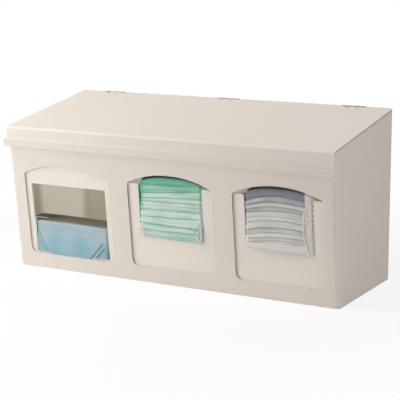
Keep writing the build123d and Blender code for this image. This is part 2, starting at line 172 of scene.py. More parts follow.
class Net:
    """The node tree of one material or world."""

    def __init__(self, owner: bpy.types.Material | bpy.types.World) -> None:
        """Start with an empty node tree.

        Args:
            owner: The material or world whose nodes are built.
        """
        self.owner = owner
        owner.use_nodes = True
        self.tree = owner.node_tree
        self.tree.nodes.clear()

    def add(
        self,
        kind: str,
        settings: dict[str, object] | None = None,
        inputs: dict[int | str, object] | None = None,
        output: int | str = 0,
    ) -> Signal:
        """Add one node.

        Args:
            kind: The node's type.
            settings: Properties to set before the sockets.
            inputs: Values or links of its sockets, by name or number.
            output: The socket to return.

        Returns:
            The chosen output; a closing node has none, and nothing reads what is returned for it.
        """
        node = self.tree.nodes.new(kind)
        for key, value in (settings or {}).items():
            setattr(node, key, value)
        for key, value in (inputs or {}).items():
            if isinstance(value, Signal):
                self.tree.links.new(value.socket, node.inputs[key])
            else:
                node.inputs[key].default_value = value
        return Signal(self, node.outputs[output] if node.outputs else None)

    def place(self) -> Signal:
        """Object coordinates, in metres."""
        return self.add("ShaderNodeTexCoord", output="Object")

    def attribute(self, name: str) -> Signal:
        """A number that the mesh stores at its points."""
        return self.add("ShaderNodeAttribute", {"attribute_name": name}, None, "Fac")

    def axis(self, vector: Signal, letter: str) -> Signal:
        """One component of a vector."""
        return self.add("ShaderNodeSeparateXYZ", None, {0: vector}, letter)

    def dot(self, vector: Signal, direction: Triple) -> Signal:
        """Length of a vector along a fixed direction."""
        return self.add(
            "ShaderNodeVectorMath", {"operation": "DOT_PRODUCT"}, {0: vector, 1: direction}, "Value"
        )

    def stretched(self, vector: Signal, scale: Triple) -> Signal:
        """A vector with each axis scaled."""
        return self.add("ShaderNodeVectorMath", {"operation": "MULTIPLY"}, {0: vector, 1: scale})

    def noise(self, vector: Signal, scale: float, detail: float = 3.0) -> Signal:
        """Fractal noise, about 0.5 in the middle."""
        return self.add(
            "ShaderNodeTexNoise", None, {"Vector": vector, "Scale": scale, "Detail": detail}
        )

    def dots(self, vector: Signal, scale: float) -> Signal:
        """Distance to the nearest of a field of points."""
        return self.add(
            "ShaderNodeTexVoronoi",
            {"feature": "F1"},
            {"Vector": vector, "Scale": scale, "Randomness": 0.35},
            "Distance",
        )

    def blend(self, share: "Signal | float", one: object, two: object) -> Signal:
        """Mix two colours."""
        return self.add(
            "ShaderNodeMix",
            {"data_type": "RGBA", "blend_type": "MIX"},
            {0: share, 6: one, 7: two},
            2,
        )

    def shade(self, colour: object, amount: Signal) -> Signal:
        """Scale a colour's brightness by a number that varies."""
        grey = self.add("ShaderNodeCombineXYZ", None, {0: amount, 1: amount, 2: amount})
        return self.add(
            "ShaderNodeMix",
            {"data_type": "RGBA", "blend_type": "MULTIPLY"},
            {0: 1.0, 6: colour, 7: grey},
            2,
        )

    def bump(self, height: Signal, distance: float, under: Signal | None = None) -> Signal:
        """Surface relief of a height between 0 and 1.

        Args:
            height: The height that varies.
            distance: How far a height of 1 stands out, in metres.
            under: The relief that this one lies on, if there is one.

        Returns:
            The bent normal.
        """
        inputs: dict[int | str, object] = {"Height": height, "Distance": distance, "Strength": 1.0}
        if under is not None:
            inputs["Normal"] = under
        return self.add("ShaderNodeBump", None, inputs)

    def finish(self, constants: dict[str, object], **driven: Signal) -> bpy.types.Material:
        """Close the net with one Principled shader.

        Args:
            constants: Values that are the same all over, by socket name.
            **driven: What varies, with underscores for the spaces of a socket's name.

        Returns:
            The finished material.
        """
        inputs = dict(constants)
        inputs.update({key.replace("_", " "): value for key, value in driven.items()})
        shader = self.add("ShaderNodeBsdfPrincipled", None, inputs)
        self.add("ShaderNodeOutputMaterial", None, {"Surface": shader})
        return self.owner


# Finishes


@dataclass(frozen=True)
class SatinSheet:
    """Satin plastic sheet with a fine haircell grain and faint mottling, with painted light on its sawn
    edges, along a level line and a seam, and as a glow inside.
    """

    name: str
    colour: Colour
    # colour painted on the cut edges: painted shade on the cabinet, a painted highlight on the inserts
    painted_edge_colour: Colour | None = None
    edge_depth: float = 0.0
    level_edge: float = 1.0
    # strength of a painted glow on the faces inside the cabinet, emission in place of the light inside it,
    # with its share near the front below
    glow: float = 0.0
    front_painted_glow: float = 0.25
    # height, and strength at left and right, of a painted highlight along a level line
    highlight_height: float = 0.0
    highlight_strength: Pair = (0.14, 0.14)
    # slope and height of the line below which the sheet's ends carry a painted shadow
    seam_slope: float = 0.0
    seam_height: float = 0.0
    roughness: float = 0.52
    grain: float = 900.0
    grain_depth: float = 0.03 * MM
    wave_depth: float = 0.6 * MM
    bend_radius: float = 0.45 * MM
    edge_reach: float = 1.6 * MM
    cut_half: float = 352.0 * MM
    inner_side: float = 360.8 * MM
    inner_gap: float = 3.6 * MM
    inner_wall: float = 124.15 * MM
    rear_fade: Pair = (88.0 * MM, 122.0 * MM)
    front_fade: Pair = (74.0 * MM, 102.0 * MM)
    painted_glow_colour: Colour = (0.66, 0.66, 0.58, 1.0)

    def make(self) -> bpy.types.Material:
        """Build the material.

        Colour is the base colour times slow mottling and fine specks; the sheet's cut edge, found by
        its depth behind the leaning front and its direction, takes the edge colour, which is painted
        shade on the cabinet and a painted highlight on the inserts. Upright faces inside the cabinet
        carry a painted glow, emission that stands in for the light inside it. A level line carries a
        painted highlight, and below the seam's line the sheet's ends carry a painted shadow.

        Returns:
            The material.
        """
        net = Net(bpy.data.materials.new(self.name))
        place = net.place()
        across, along, up = (net.axis(place, letter) for letter in "XYZ")
        normal = net.add("ShaderNodeNewGeometry", output="True Normal")
        inward = (0.0, math.cos(LEAN), math.sin(LEAN))
        depth = net.dot(place, inward) - FRONT_Y * math.cos(LEAN)
        sideways = abs(net.axis(normal, "X"))
        tone = 0.965 + 0.05 * net.noise(place, 9.0) + 0.02 * net.noise(place, 1500.0, 1.0)
        colour = net.shade(self.colour, tone)
        smears = net.noise(net.stretched(place, (3.0, 3.0, 40.0)), 6.0, 4.0).ramp(0.62, 0.75)
        rough = self.roughness + 0.10 * net.noise(place, 40.0) + 0.07 * smears
        # The cut edges take the edge colour: painted shade on the cabinet, only where the edge faces
        # sideways, and a painted highlight on the inserts.
        if self.painted_edge_colour:
            near = abs(depth - self.edge_depth - SHEET / 2) < self.edge_reach
            fading = 1.0 - self.level_edge
            level = self.level_edge + fading * sideways.ramp(0.3, 0.8)
            face_share = 0.25 + 0.75 * depth.ramp(0.7 * MM, 1.7 * MM)
            # share of the painted shade on the cabinet's edges: less on the edge's outer part and on the
            # lit left side
            rounded = self.level_edge + fading * (face_share * (0.3 + 0.7 * across.ramp(-0.3, -0.1)))
            cut = (abs(net.dot(normal, inward)) < 0.6) * near * (abs(across) < self.cut_half)
            edge = cut * level * rounded
            colour = net.blend(edge, colour, self.painted_edge_colour)
            rough = rough + 0.2 * edge
        # Painted glow on the faces inside the cabinet: weaker towards the rear wall, and scaled near the
        # front.
        inner = (abs(across) < self.inner_side) * (depth > self.inner_gap) * (up > self.inner_gap)
        inner = inner * (along < self.inner_wall) * (1.0 - 0.62 * along.ramp(*self.rear_fade))
        inner = inner * (self.front_painted_glow + (1.0 - self.front_painted_glow) * depth.ramp(*self.front_fade))
        # Painted highlight along a level line on the front face, its strength changing from left to right.
        if self.highlight_height:
            line = abs(up - self.highlight_height).ramp(2.4 * MM, 0.4 * MM)
            left, right = self.highlight_strength
            paler = left + (right - left) * across.ramp(-0.2, 0.3)
            colour = net.shade(colour, 1.0 + paler * line * (depth < 1.0 * MM))
        # Painted shadow on the sheet's ends in a thin band below the seam's line.
        if self.seam_slope:
            drop = self.seam_height - up + self.seam_slope * along
            seam = (sideways > 0.8) * drop.ramp(1.0 * MM, 1.6 * MM) * (drop < 4.0 * MM)
            colour = net.shade(colour, 1.0 - 0.55 * seam)
        relief = net.add("ShaderNodeBevel", {"samples": 4}, {"Radius": self.bend_radius})
        relief = net.bump(net.noise(place, self.grain, 2.0), self.grain_depth, relief)
        relief = net.bump(net.noise(place, 14.0, 1.0), self.wave_depth, relief)
        return net.finish(
            {"IOR": 1.49, "Specular IOR Level": 0.22, "Emission Strength": self.glow},
            Base_Color=colour,
            Roughness=rough,
            Normal=relief,
            Emission_Color=net.shade(self.painted_glow_colour, inner),
        )


@dataclass(frozen=True)
class DullSteel:
    """Plated steel gone dull, with fine rolling lines and brown stains."""

    name: str
    colour: Colour
    stain: Colour
    roughness: float = 0.38

    def make(self) -> bpy.types.Material:
        """Build the material.

        Rolling lines are noise stretched along X, and stains are a slow noise cut off high.

        Returns:
            The material.
        """
        net = Net(bpy.data.materials.new(self.name))
        place = net.place()
        lines = net.noise(net.stretched(place, (60.0, 2200.0, 2200.0)), 1.0, 3.0)
        stains = net.noise(place, 160.0, 4.0).ramp(0.5, 0.68)
        colour = net.blend(stains * 0.7, net.shade(self.colour, 0.85 + 0.3 * lines), self.stain)
        return net.finish(
            {"IOR": 2.2},
            Base_Color=colour,
            Metallic=1.0 - 0.35 * stains,
            Roughness=self.roughness + 0.12 * lines + 0.22 * stains,
            Normal=net.bump(lines, 0.00002),
        )


@dataclass(frozen=True)
class NonWoven:
    """Spun-bonded mask cloth: matt fibres, a field of pressed dots and a tint that follows the folds."""

    name: str
    pale: Colour
    deep: Colour
    lining: Colour
    streak: float = 0.8

    def make(self) -> bpy.types.Material:
        """Build the material.

        The mesh's tint attribute runs from pale to deep, and its lining attribute turns to the inner
        cloth. Dots and fibres lie on the piece's own UV map, which is in metres.

        Returns:
            The material.
        """
        net = Net(bpy.data.materials.new(self.name))
        uv = net.add("ShaderNodeUVMap", {"uv_map": "cloth"})
        tint = net.attribute("tint")
        lining = net.attribute("lining")
        painted_shade_and_marks = net.attribute("painted_shade_and_marks")
        fibres = net.noise(net.stretched(uv, (260.0, 1300.0, 1.0)), 1.0, 4.0)
        clouds = net.noise(uv, 45.0, 3.0)
        dots = net.dots(uv, 620.0).ramp(0.1, 0.32)
        streaks = net.noise(net.stretched(uv, (16.0, 430.0, 1.0)), 1.0, 3.0)
        broad = net.noise(net.stretched(uv, (9.0, 120.0, 1.0)), 1.0, 2.0)
        shift = self.streak * (streaks - 0.5) + 0.6 * self.streak * (broad - 0.5)
        colour = net.blend((tint + shift).ramp(0.0, 1.0), self.pale, self.deep)
        colour = net.blend(lining, colour, self.lining)
        tone = 0.86 + 0.14 * fibres + 0.12 * clouds + 0.03 * dots
        # The painted shade and marks attribute darkens the cloth with painted shade and with stitch marks;
        # below 0 it paints light.
        colour = net.shade(colour, tone * (1.0 - 0.5 * painted_shade_and_marks))
        relief = net.bump(fibres, 0.00012)
        relief = net.bump(dots, 0.00008, relief)
        return net.finish(
            {"Sheen Weight": 0.12, "Sheen Roughness": 0.5, "Specular IOR Level": 0.25},
            Base_Color=colour,
            Roughness=0.82 + 0.12 * fibres,
            Normal=relief,
        )


@dataclass(frozen=True)
class Elastic:
    """Knitted white elastic, with ribs across its length."""

    name: str
    colour: Colour

    def make(self) -> bpy.types.Material:
        """Build the material from ribs along the piece's own UV map.

        Returns:
            The material.
        """
        net = Net(bpy.data.materials.new(self.name))
        uv = net.add("ShaderNodeUVMap", {"uv_map": "cloth"})
        ribs = net.noise(net.stretched(uv, (1800.0, 300.0, 1.0)), 1.0, 2.0)
        return net.finish(
            {"Sheen Weight": 0.1, "Specular IOR Level": 0.3},
            Base_Color=net.shade(self.colour, 0.85 + 0.25 * ribs),
            Roughness=0.75 + 0.15 * ribs,
            Normal=net.bump(ribs, 0.00015),
        )


# Mesh making


def smooth(value: Values, low: float, high: float) -> np.ndarray:
    """Smooth step: 0 below low, 1 above high, 3t^2 - 2t^3 between.

    Args:
        value: Where to read the step.
        low: Where it starts.
        high: Where it ends.

    Returns:
        The step's height.
    """
    share = np.clip((np.asarray(value, float) - low) / (high - low), 0.0, 1.0)
    return share * share * (3.0 - 2.0 * share)


def ripple(first: np.ndarray, second: np.ndarray, seed: int, wave: float, count: int = 7) -> np.ndarray:
    """Smooth seeded unevenness: a sum of sine waves in random directions, about 1 high.

    Args:
        first: First coordinate, in metres.
        second: Second coordinate, in metres.
        seed: Seed of the directions and phases.
        wave: Typical wavelength, in metres.
        count: Number of waves.

    Returns:
        The height at every point.
    """
    draw = np.random.default_rng(seed)
    total = np.zeros(np.broadcast(first, second).shape)
    for angle, phase, scale in zip(
        draw.uniform(0, 2 * np.pi, count),
        draw.uniform(0, 2 * np.pi, count),
        draw.uniform(0.6, 1.7, count),
    ):
        along = np.cos(angle) * first + np.sin(angle) * second
        total = total + np.sin(2 * np.pi * along / (wave * scale) + phase)
    return total / count * 1.6


def creases(across: np.ndarray, up: np.ndarray, rows: tuple[tuple[float, ...], ...]) -> np.ndarray:
    """Straight ridges: a sum of bells over the distance to segments.

    Args:
        across: First coordinate of every point.
        up: Second coordinate of every point.
        rows: For each ridge its height, the first and the second coordinate of one end and of the
            other, and the distance at which it has fallen to a third. All but the height are
            millimetres.

    Returns:
        The ridges' summed height.
    """
    total = np.zeros(np.broadcast(across, up).shape)
    for height, *lengths in rows:
        first, second, third, fourth, width = (length * MM for length in lengths)
        run = np.array([third - first, fourth - second])
        share = ((across - first) * run[0] + (up - second) * run[1]) / (run @ run)
        share = np.clip(share, 0.0, 1.0)
        gap = np.hypot(across - first - share * run[0], up - second - share * run[1])
        total = total + height * np.exp(-((gap / width) ** 2))
    return total


def through(points: tuple[Pair, ...] | np.ndarray, at: np.ndarray) -> np.ndarray:
    """Height of the smoothest low curve through a few points: a parabola, or a line through two.

    Args:
        points: Places and heights, in millimetres.
        at: Where to read the curve.

    Returns:
        The curve's height.
    """
    places = np.array(points) * MM
    return np.polyval(np.polyfit(places[:, 0], places[:, 1], min(len(places) - 1, 2)), at)


def path(points: np.ndarray, count: int) -> np.ndarray:
    """A smooth curve through every control point, by cubic pieces with matched tangents.

    Args:
        points: Control points, one a row.
        count: Number of points to return.

    Returns:
        Points along the curve.
    """
    ends = np.vstack([2 * points[0] - points[1], points, 2 * points[-1] - points[-2]])
    places = np.linspace(0, len(points) - 1, count)
    low = np.minimum(places.astype(int), len(points) - 2)
    f = (places - low)[:, None]
    a, b, c, d = ends[low], ends[low + 1], ends[low + 2], ends[low + 3]
    return 0.5 * (
        2 * b + (c - a) * f + (2 * a - 5 * b + 4 * c - d) * f**2 + (3 * b - a - 3 * c + d) * f**3
    )


def quads(rows: int, columns: int, closed: bool) -> np.ndarray:
    """Corner numbers of a grid's four-sided faces.

    Args:
        rows: Number of points along the first way.
        columns: Number of points along the second way.
        closed: Whether the second way runs round and joins up.

    Returns:
        One face a row.
    """
    number = np.arange(rows * columns).reshape(rows, columns)
    if closed:
        number = np.hstack([number, number[:, :1]])
    return np.stack(
        [number[:-1, :-1], number[1:, :-1], number[1:, 1:], number[:-1, 1:]], axis=-1
    ).reshape(-1, 4)


@dataclass
class Shape:
    """Points and faces that are gathered before they become one mesh."""

    points: list[np.ndarray] = field(default_factory=list)
    faces: list[np.ndarray] = field(default_factory=list)
    chart: list[np.ndarray] = field(default_factory=list)
    tint: list[np.ndarray] = field(default_factory=list)
    lining: list[np.ndarray] = field(default_factory=list)
    painted_shade_and_marks: list[np.ndarray] = field(default_factory=list)
    total: int = 0

    def take(
        self,
        points: np.ndarray,
        faces: np.ndarray,
        chart: np.ndarray,
        tint: Values = 0.0,
        lining: Values = 0.0,
        painted_shade_and_marks: Values = 0.0,
        ends: np.ndarray | None = None,
    ) -> None:
        """Add one closed skin, turned outwards.

        Its signed volume is the sum of corner triple products; where that is negative the faces are
        turned over.

        Args:
            points: Points, one a row.
            faces: Corner numbers of the four-sided faces, one a row.
            chart: Cloth coordinates in metres, one a row.
            tint: How deep the colour is at each point.
            lining: How much of the lining shows at each point.
            painted_shade_and_marks: How much darker each point is; below 0 it is paler.
            ends: Corner numbers of the triangles that close a wall, if there are any.
        """
        a, b, c, d = (points[faces[:, corner]] for corner in range(4))
        volume = np.einsum("ij,ij->", a, np.cross(b, c)) + np.einsum("ij,ij->", a, np.cross(c, d))
        order = 1 if volume > 0 else -1
        for block in (faces,) if ends is None else (faces, ends):
            self.faces.append(block[:, ::order] + self.total)
        self.points.append(points)
        self.chart.append(chart)
        self.tint.append(np.broadcast_to(tint, len(points)))
        self.lining.append(np.broadcast_to(lining, len(points)))
        self.painted_shade_and_marks.append(np.broadcast_to(painted_shade_and_marks, len(points)))
        self.total += len(points)

    def take_sheet(
        self,
        surface: np.ndarray,
        across: np.ndarray,
        thickness: float,
        tint: np.ndarray,
        lining: np.ndarray,
        painted_shade_and_marks: np.ndarray,
    ) -> None:
        """Add an open sheet as a thin shell, charted by its width and its length down the middle.

        Args:
            surface: Points of the sheet, rows by columns by 3.
            across: Place across the cloth of every point.
            thickness: Thickness of the cloth.
            tint: How deep the colour is at each point.
            lining: How much of the lining shows at each point.
            painted_shade_and_marks: How much darker each point is; below 0 it is paler.
        """
        points, faces = thicken(surface, thickness)
        down = lengths_along(surface[:, surface.shape[1] // 2])
        chart = np.stack([across, np.broadcast_to(down[:, None], across.shape)], axis=-1)
        looks = (np.clip(tint, 0, 1), np.clip(lining, 0, 1), painted_shade_and_marks)
        both_sides = (np.tile(values.ravel(), 2) for values in looks)
        self.take(points, faces, np.tile(chart.reshape(-1, 2), (2, 1)), *both_sides)

    def make(self, name: str, material: bpy.types.Material) -> bpy.types.Object:
        """Turn what was gathered into one smooth-shaded object at the origin.

        Args:
            name: The piece's name.
            material: Its finish.

        Returns:
            The new object.
        """
        points = np.vstack(self.points)
        chart = np.vstack(self.chart)
        sides = np.concatenate([np.full(len(block), block.shape[1]) for block in self.faces])
        corners = np.concatenate([block.ravel() for block in self.faces])
        mesh = bpy.data.meshes.new(name)
        mesh.vertices.add(len(points))
        mesh.vertices.foreach_set("co", points.astype(np.float32).ravel())
        mesh.loops.add(len(corners))
        mesh.loops.foreach_set("vertex_index", corners.astype(np.int32))
        mesh.polygons.add(len(sides))
        starts = np.concatenate([[0], np.cumsum(sides)[:-1]])
        mesh.polygons.foreach_set("loop_start", starts.astype(np.int32))
        mesh.update(calc_edges=True)
        mesh.validate()
        layer = mesh.uv_layers.new(name="cloth")
        layer.data.foreach_set("uv", chart[corners].astype(np.float32).ravel())
        for key in ("tint", "lining", "painted_shade_and_marks"):
            values = getattr(self, key)
            attribute = mesh.attributes.new(key, "FLOAT", "POINT")
            attribute.data.foreach_set("value", np.concatenate(values).astype(np.float32))
        mesh.polygons.foreach_set("use_smooth", np.ones(len(sides), bool))
        mesh.materials.append(material)
        piece = bpy.data.objects.new(name, mesh)
        bpy.context.scene.collection.objects.link(piece)
        return piece


def lengths_along(line: np.ndarray) -> np.ndarray:
    """Length of a line of points from its start to each of them."""
    return np.concatenate([[0], np.cumsum(np.linalg.norm(np.diff(line, axis=0), axis=1))])


def thicken(surface: np.ndarray, thickness: float) -> tuple[np.ndarray, np.ndarray]:
    """Close an open sheet into a thin shell: half the thickness to each side, along the normals.

    Args:
        surface: Points of the sheet, rows by columns by 3.
        thickness: Thickness of the cloth.

    Returns:
        Points one a row, the front side first, and the faces.
    """
    rows, columns = surface.shape[:2]
    normal = np.cross(np.gradient(surface, axis=1), np.gradient(surface, axis=0))
    normal /= np.maximum(np.linalg.norm(normal, axis=2, keepdims=True), 1e-12)
    front = surface + normal * thickness / 2
    back = surface - normal * thickness / 2
    number = np.arange(rows * columns).reshape(rows, columns)
    rim = np.concatenate([number[0, :-1], number[:-1, -1], number[-1, :0:-1], number[:0:-1, 0]])
    after = np.roll(rim, -1)
    side = rows * columns
    flat = quads(rows, columns, False)
    walls = np.stack([rim, after, after + side, rim + side], axis=-1)
    faces = np.vstack([flat[:, ::-1], flat + side, walls])
    return np.vstack([front.reshape(-1, 3), back.reshape(-1, 3)]), faces


def capped_loops(loops: np.ndarray) -> tuple[np.ndarray, np.ndarray, np.ndarray]:
    """Close a run of rings at both ends with a fan to the end ring's middle.

    Args:
        loops: Rings of points, rings by points by 3.

    Returns:
        Points, four-sided faces of the wall, and triangles of the ends, wound like the wall.
    """
    rings, size = loops.shape[:2]
    points = np.vstack([loops.reshape(-1, 3), loops[0].mean(0), loops[-1].mean(0)])
    wall = quads(rings, size, True)
    ring = np.arange(size)
    after = np.roll(ring, -1)
    end = ring + (rings - 1) * size
    first = np.stack([after, ring, np.full(size, rings * size)], axis=-1)
    last = np.stack([end, np.roll(end, -1), np.full(size, rings * size + 1)], axis=-1)
    return points, wall, np.vstack([first, last])


def front_y(height: Values, depth: Values = 0.0) -> np.ndarray:
    """Y of the plane that lies this deep behind the leaning front, at this height."""
    return FRONT_Y - np.asarray(height) * math.tan(LEAN) + np.asarray(depth) / math.cos(LEAN)


# Cloth in the bins


@dataclass(frozen=True)
class Layers:
    """A pile of flat folded items under their own weight; the sizes given are a pile of masks."""

    name: str
    arch: float
    sag: Pair
    seed: int
    length: float = 175 * MM
    depth: float = 95 * MM
    height: float = 217 * MM
    layer: float = 8.2 * MM
    tongue_half: float = 70 * MM
    tongue_depth: float = 4.6 * MM
    sill: float = 99.0 * MM
    body_depth: float = 9.4 * MM
    weld: float = 7 * MM
    uneven: float = 0.3 * MM
    wave: float = 0.25 * MM
    shove: float = 0.6 * MM
    # how far behind the front the painted shadow on the top layers reaches, and where towards the ends the
    # painted light starts
    painted_shadow_reach: Pair = (10 * MM, 26 * MM)
    ear_reach: Pair = (56 * MM, 66 * MM)
    columns: int = 61

    def profile(self, thick: np.ndarray, front: np.ndarray, rear: np.ndarray) -> np.ndarray:
        """Side view of every layer at every place along it.

        A ring runs along the top from the front, round the rear nose, back along the underside and
        round the front nose; both noses are half circles of half the layer's thickness. Three shallow
        pleats step the top.

        Args:
            thick: Thickness, layers by columns.
            front: Y of the front nose.
            rear: Y of the rear nose.

        Returns:
            Ring points as Y and height above the layer's middle, layers by columns by points by 2.
        """
        turn = np.linspace(0, np.pi, 7)[1:-1]
        run = np.linspace(0.0, 1.0, 15)
        radius = thick[..., None] / 2
        low = front[..., None] + radius
        high = rear[..., None] - radius
        flat_y = low + (high - low) * run
        step = np.abs((run * 3.4 + 0.35) % 1.0 - 0.5) * 2.0
        nose_z = radius * np.cos(turn)
        y = [flat_y, high + radius * np.sin(turn), flat_y[..., ::-1], low - radius * np.sin(turn)]
        z = [radius * (0.93 + 0.10 * step), nose_z, -radius * np.ones_like(flat_y), -nose_z]
        return np.stack([np.concatenate(y, axis=-1), np.concatenate(z, axis=-1)], axis=-1)

    @staticmethod
    def drop(radius: float, inward: np.ndarray) -> np.ndarray:
        """Fall of a rounded end, r - sqrt(r^2 - (r - d)^2), at distance d inward from the end."""
        reach = np.clip(radius - inward, 0.0, 0.93 * radius)
        return radius - np.sqrt(radius**2 - reach**2)

    def make(self, centre: float, material: bpy.types.Material) -> bpy.types.Object:
        """Build the pile.

        A layer's middle falls away from the centre as x^2, more the higher it lies, and the upper
        layers' corners droop; ends are pinched where the cloth is welded.

        Args:
            centre: X of the bin's centre.
            material: The cloth.

        Returns:
            The pile as one piece of closed layers.
        """
        count = round((self.height - FLOOR_TOP) / self.layer)
        pitch = (self.height - FLOOR_TOP) / count
        number = np.arange(count)[:, None]
        share = np.linspace(-1, 1, self.columns)[None, :]
        x = np.broadcast_to(share * self.length / 2, (count, self.columns))
        middle = FLOOR_TOP + pitch * (number + 0.5)
        height_share = middle / self.height
        fall = self.arch * height_share * share**2
        droop = self.drop(self.sag[0], x + self.length / 2) + self.drop(self.sag[1], self.length / 2 - x)
        z = middle - fall - droop * height_share**2
        pinch = 1 - 0.45 * smooth(np.abs(share), 0.94, 1.0)
        squeeze = 1 - 2 * droop * height_share / self.height
        thick = pitch * 0.97 * pinch * (1 - 0.03 * (number % 3)) * np.maximum(squeeze, 0.35)
        draw = np.random.default_rng(self.seed)
        shove = draw.uniform(-1.0, 1.0, (count, 1)) * self.shove
        out = smooth(self.tongue_half - np.abs(x), 0.0, 5 * MM) * (z - thick / 2 > self.sill)
        open_share = np.clip((z - self.sill) / (self.height - self.sill), 0, 1)
        tongue = self.tongue_depth + (self.body_depth - self.tongue_depth) * open_share
        depth = self.body_depth + (tongue - self.body_depth) * out
        front = front_y(z, depth) + np.abs(shove) + self.uneven * ripple(x, z * 3, self.seed, 0.05)
        rear = front_y(z, self.body_depth) + self.depth + shove
        rings = self.profile(thick, front, rear)
        wave = self.wave * ripple(x, z * 2, self.seed + 1, 0.06)
        shape = Shape()
        for layer in range(count):
            ring = np.empty((self.columns, rings.shape[2], 3))
            ring[..., 0] = centre + x[layer][:, None]
            ring[..., 1] = rings[layer, ..., 0]
            ring[..., 2] = (z[layer] + wave[layer])[:, None] + rings[layer, ..., 1]
            ring[..., 2] = np.maximum(ring[..., 2], FLOOR_TOP)
            points, wall, ends = capped_loops(ring)
            chart = np.column_stack([points[:, 0], points[:, 1] + 0.02 * layer])
            tint = 0.15 + 0.2 * draw.random()
            off = np.abs(points[:, 0] - centre)
            behind = (points[:, 1] - front_y(points[:, 2])) * math.cos(LEAN)
            # Painted shadow on the front of the two top layers, painted light on the three top layers
            # towards their ends, and painted shade on the rest of the pile.
            painted_shadow = 1.35 * (layer > count - 3) * (1 - smooth(behind, *self.painted_shadow_reach))
            painted_light_at_ear = smooth(off, *self.ear_reach) * (layer > count - 4)
            painted_shade_and_marks = (0.5 + painted_shadow) * (1 - painted_light_at_ear) - 0.5 * painted_light_at_ear
            at_end = 0.6 * (off > self.length / 2 - self.weld)
            shape.take(points, wall, chart, tint, at_end, painted_shade_and_marks, ends)
        return shape.make(self.name, material)


